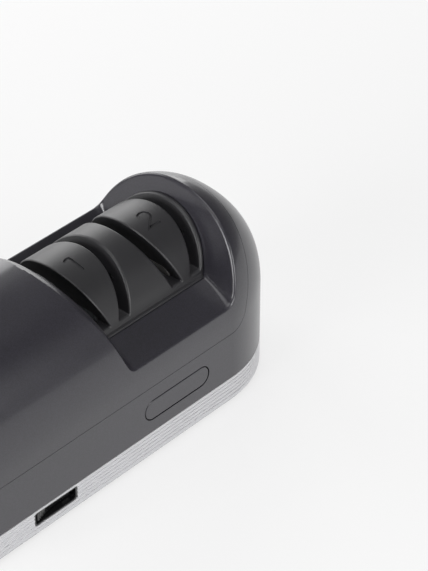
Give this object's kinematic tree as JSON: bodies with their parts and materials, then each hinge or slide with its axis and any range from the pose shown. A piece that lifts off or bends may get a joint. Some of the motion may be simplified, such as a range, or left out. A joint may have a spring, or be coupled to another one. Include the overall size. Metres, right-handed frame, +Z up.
{
  "type": "electric knife sharpener",
  "caption": "Tabletop electric knife sharpener: loaf-shaped dark housing with a saddle of leaning blade slots over grinding wheels, silver ribbed base band and a rocker switch.",
  "frame": {"origin": "on the table under the middle of the body's length and depth", "axes": "+X to the user's right along the length, +Y to the back, +Z up"},
  "size_m": [0.238, 0.087, 0.089],
  "materials": {
    "housing": "satin anthracite plastic with a fine metallic fleck",
    "guide": "dark grey plastic, low sheen",
    "band": "silver paint on plastic",
    "black_plastic": "black plastic",
    "rubber": "soft black rubber",
    "sheet_steel": "stainless sheet",
    "zinc_steel": "zinc plated",
    "ground_steel": "ground steel",
    "core_steel": "stacked steel sheets",
    "ferrite": "sintered ferrite",
    "copper": "enamelled copper",
    "brass": "bright brass",
    "bronze": "sintered bronze",
    "carbon": "pressed carbon",
    "ivory_plastic": "ivory plastic",
    "grey_plastic": "grey plastic",
    "alloy": "turned",
    "coarse_grit": "steel disc with bonded coarse grit",
    "fine_ceramic": "fine white ceramic",
    "board": "green laminate",
    "board_parts": "moulded parts"
  },
  "bodies": {
    "body": {"upper_housing": "housing", "lower_front": "housing", "lower_back": "housing", "lower_left_end": "housing", "lower_right_end": "housing", "trim_band": "band", "base_plate": "black_plastic", "rubber_feet": "rubber", "base_screws": "zinc_steel", "slot_guide": "guide", "guide_blocks": "guide", "blade_guides": "sheet_steel", "badge_plate": "housing", "switch_bezel": "black_plastic", "switch_body": "black_plastic", "switch_terminals": "brass", "motor_can": "zinc_steel", "motor_end_cap": "ivory_plastic", "motor_magnets": "ferrite", "motor_brushes": "carbon", "motor_terminals": "brass", "motor_bracket": "sheet_steel", "motor_screws": "zinc_steel", "inner_bearing_wall": "grey_plastic", "outer_bearing_bracket": "grey_plastic", "shaft_bushes": "bronze", "bracket_screws": "zinc_steel", "rectifier_board": "board", "board_parts": "board_parts", "cord_grommet": "rubber"},
    "spindle": {"armature_core": "core_steel", "armature_windings": "copper", "commutator": "copper", "motor_shaft": "ground_steel", "shaft_coupling": "alloy", "wheel_shaft": "ground_steel", "coarse_wheel": "coarse_grit", "fine_wheel": "fine_ceramic", "wheel_hubs": "alloy", "shaft_spacer": "alloy", "shaft_nut": "zinc_steel"},
    "rocker": {"switch_rocker": "black_plastic"}
  },
  "joints": [
    {"name": "wheel_spin", "type": "hinge", "parent": "body", "child": "spindle", "pos_m": [0, 0.0035, 0.0435], "axis": [1, 0, 0], "continuous": true},
    {"name": "switch_rock", "type": "hinge", "parent": "body", "child": "rocker", "pos_m": [-0.032, -0.038, 0.009], "axis": [0, 0, -1], "range_deg": [0, 14]}
  ]
}
